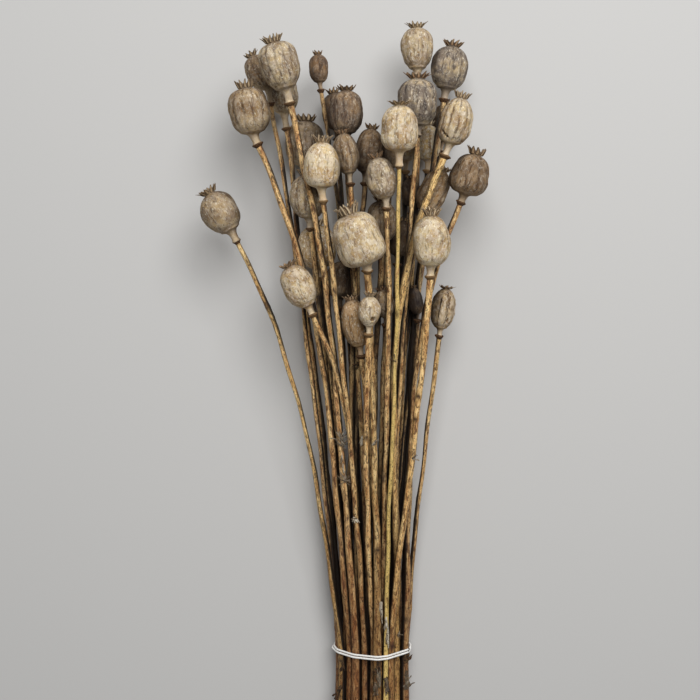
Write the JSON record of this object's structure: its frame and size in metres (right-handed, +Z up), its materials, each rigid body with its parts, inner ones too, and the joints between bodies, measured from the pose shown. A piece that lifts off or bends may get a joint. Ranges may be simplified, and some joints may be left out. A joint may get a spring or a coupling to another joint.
{
  "type": "bunch of dried poppy seed heads",
  "caption": "Dried poppy seed heads on long stems, tied in a bunch and laid down: round ribbed capsules with rayed crowns fan out from a thin white elastic band.",
  "frame": {"origin": "on the surface that the bunch lies on, under the middle of its outer box", "axes": "+Y along the stems towards the heads, +Z up from the surface, +X to the right as the bunch is seen from above with its heads away"},
  "size_m": [0.2322, 0.613, 0.1107],
  "materials": {
    "pale_capsule": "dry pale straw capsule with grey bloom and brown flecks, on an ochre stem",
    "tan_capsule": "dry tan capsule with dark streaks between its ribs, on a brown stem",
    "grey_capsule": "dry blue-grey bloomed capsule, on a brown stem",
    "dark_capsule": "dry dark brown-grey capsule, on a dark brown stem",
    "white_band": "matt white elastic"
  },
  "bodies": {
    "root": {"poppy_01": "pale_capsule", "poppy_02": "tan_capsule", "poppy_03": "pale_capsule", "poppy_04": "pale_capsule", "poppy_05": "grey_capsule", "poppy_06": "pale_capsule", "poppy_07": "pale_capsule", "poppy_08": "pale_capsule", "poppy_09": "pale_capsule", "poppy_10": "tan_capsule", "poppy_11": "pale_capsule", "poppy_12": "dark_capsule", "poppy_13": "tan_capsule", "poppy_14": "tan_capsule", "poppy_15": "dark_capsule", "poppy_16": "dark_capsule", "poppy_17": "tan_capsule", "poppy_18": "tan_capsule", "poppy_19": "pale_capsule", "poppy_20": "pale_capsule", "poppy_21": "tan_capsule", "poppy_22": "tan_capsule", "poppy_23": "tan_capsule", "poppy_24": "grey_capsule", "poppy_25": "dark_capsule", "poppy_26": "dark_capsule", "poppy_27": "tan_capsule", "poppy_28": "pale_capsule", "poppy_29": "dark_capsule", "poppy_30": "tan_capsule", "poppy_31": "dark_capsule", "poppy_32": "dark_capsule", "poppy_33": "dark_capsule", "poppy_34": "dark_capsule", "poppy_35": "dark_capsule", "poppy_36": "dark_capsule", "poppy_37": "tan_capsule", "poppy_38": "tan_capsule", "tie_band": "white_band"}
  },
  "joints": []
}
